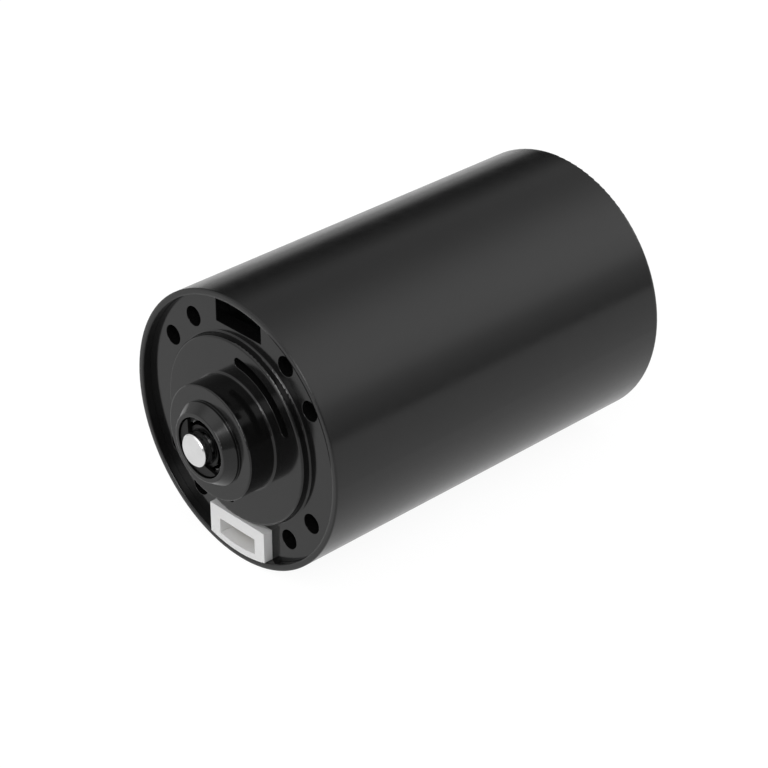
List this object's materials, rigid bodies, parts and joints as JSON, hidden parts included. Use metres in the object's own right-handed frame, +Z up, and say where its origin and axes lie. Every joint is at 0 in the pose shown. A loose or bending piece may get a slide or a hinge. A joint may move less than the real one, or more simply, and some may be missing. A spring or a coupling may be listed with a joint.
{
  "type": "brushless gear motor",
  "caption": "Round black brushless gear motor with a bearing boss, shaft clip and plug socket at the nose, and a planetary output shaft at the far end.",
  "frame": {"origin": "on the motor axis, in the mounting face at the driven end, where the pilot starts", "axes": "+Y along the axis out of the driven end, +Z up towards the wire window, +X to the right as seen from the nose"},
  "size_m": [0.06, 0.119, 0.06],
  "materials": {
    "barrel_black": "semi-gloss black",
    "bell_black": "gloss black",
    "flange_black": "satin black",
    "socket_white": "moulded, satin",
    "contact_metal": "plated",
    "board_black": "solder mask",
    "chip_black": "matt",
    "screw_steel": "blackened",
    "shaft_steel": "ground",
    "clip_dark": "phosphated spring steel",
    "bearing_steel": "ground and polished",
    "cage_dark": "moulded",
    "lamination_steel": "stamped",
    "insulator_plastic": "moulded",
    "copper": "enamelled wire",
    "magnet": "nickel plated",
    "sleeve_steel": "thin stainless band",
    "gear_steel": "machined, oiled",
    "bronze": "sintered bronze",
    "bracket_aluminium": "machined",
    "seal_rubber": "matt"
  },
  "bodies": {
    "motor_housing": {"housing_tube": "barrel_black", "end_bell": "bell_black", "connector_header": "socket_white", "connector_contacts": "contact_metal", "control_board": "board_black", "board_screws": "screw_steel", "hall_sensors": "chip_black", "driver_chip": "chip_black", "power_transistors": "chip_black", "phase_terminals": "contact_metal", "nose_bearing_outer_ring": "bearing_steel", "bearing_snap_ring": "clip_dark", "stator_core": "lamination_steel", "stator_insulator_front": "insulator_plastic", "stator_insulator_rear": "insulator_plastic", "stator_coils": "copper", "motor_bracket": "bracket_aluminium", "bracket_screws": "screw_steel", "drive_bearing_outer_ring": "bearing_steel", "wave_washer": "sleeve_steel", "ring_gear": "gear_steel", "output_flange": "flange_black", "gearbox_screws": "screw_steel", "output_seal": "seal_rubber", "output_bearing_1_outer": "bearing_steel", "output_bearing_2_outer": "bearing_steel", "output_spacer_outer": "sleeve_steel"},
    "rotor": {"rotor_shaft": "shaft_steel", "rotor_core": "lamination_steel", "rotor_magnets": "magnet", "rotor_sleeve": "sleeve_steel", "sensor_magnet": "magnet", "shaft_clip": "clip_dark", "nose_bearing_inner_ring": "bearing_steel", "drive_bearing_inner_ring": "bearing_steel", "sun_pinion": "gear_steel"},
    "bearing_cage": {"nose_bearing_balls": "bearing_steel", "nose_bearing_cage": "cage_dark"},
    "output_carrier": {"planet_carrier": "gear_steel", "carrier_plate": "gear_steel", "carrier_screws": "screw_steel", "planet_pins": "shaft_steel", "output_shaft": "shaft_steel", "output_shaft_clip": "clip_dark", "output_bearing_1_inner": "bearing_steel", "output_bearing_2_inner": "bearing_steel", "output_spacer_inner": "sleeve_steel"},
    "planet_1": {"planet_gear_1": "gear_steel", "planet_bush_1": "bronze"},
    "planet_2": {"planet_gear_2": "gear_steel", "planet_bush_2": "bronze"},
    "planet_3": {"planet_gear_3": "gear_steel", "planet_bush_3": "bronze"}
  },
  "joints": [
    {"name": "rotor_spin", "type": "hinge", "parent": "motor_housing", "child": "rotor", "pos_m": [0, -0.06, 0], "axis": [0, 1, 0], "continuous": true},
    {"name": "output_spin", "type": "hinge", "parent": "motor_housing", "child": "output_carrier", "pos_m": [0, 0, 0], "axis": [0, 1, 0], "continuous": true},
    {"name": "bearing_cage_spin", "type": "hinge", "parent": "motor_housing", "child": "bearing_cage", "pos_m": [0, -0.098, 0], "axis": [0, 1, 0], "continuous": true},
    {"name": "planet_1_spin", "type": "hinge", "parent": "output_carrier", "child": "planet_1", "pos_m": [0.0135, -0.024, 0], "axis": [0, 1, 0], "continuous": true},
    {"name": "planet_2_spin", "type": "hinge", "parent": "output_carrier", "child": "planet_2", "pos_m": [-0.00675, -0.024, 0.01169], "axis": [0, 1, 0], "continuous": true},
    {"name": "planet_3_spin", "type": "hinge", "parent": "output_carrier", "child": "planet_3", "pos_m": [-0.00675, -0.024, -0.01169], "axis": [0, 1, 0], "continuous": true}
  ],
  "couplings": [
    {"joint": "output_spin", "follows": "rotor_spin", "ratio": 0.22222},
    {"joint": "bearing_cage_spin", "follows": "rotor_spin", "ratio": 0.37478},
    {"joint": "planet_1_spin", "follows": "rotor_spin", "ratio": -0.62222},
    {"joint": "planet_2_spin", "follows": "rotor_spin", "ratio": -0.62222},
    {"joint": "planet_3_spin", "follows": "rotor_spin", "ratio": -0.62222}
  ]
}
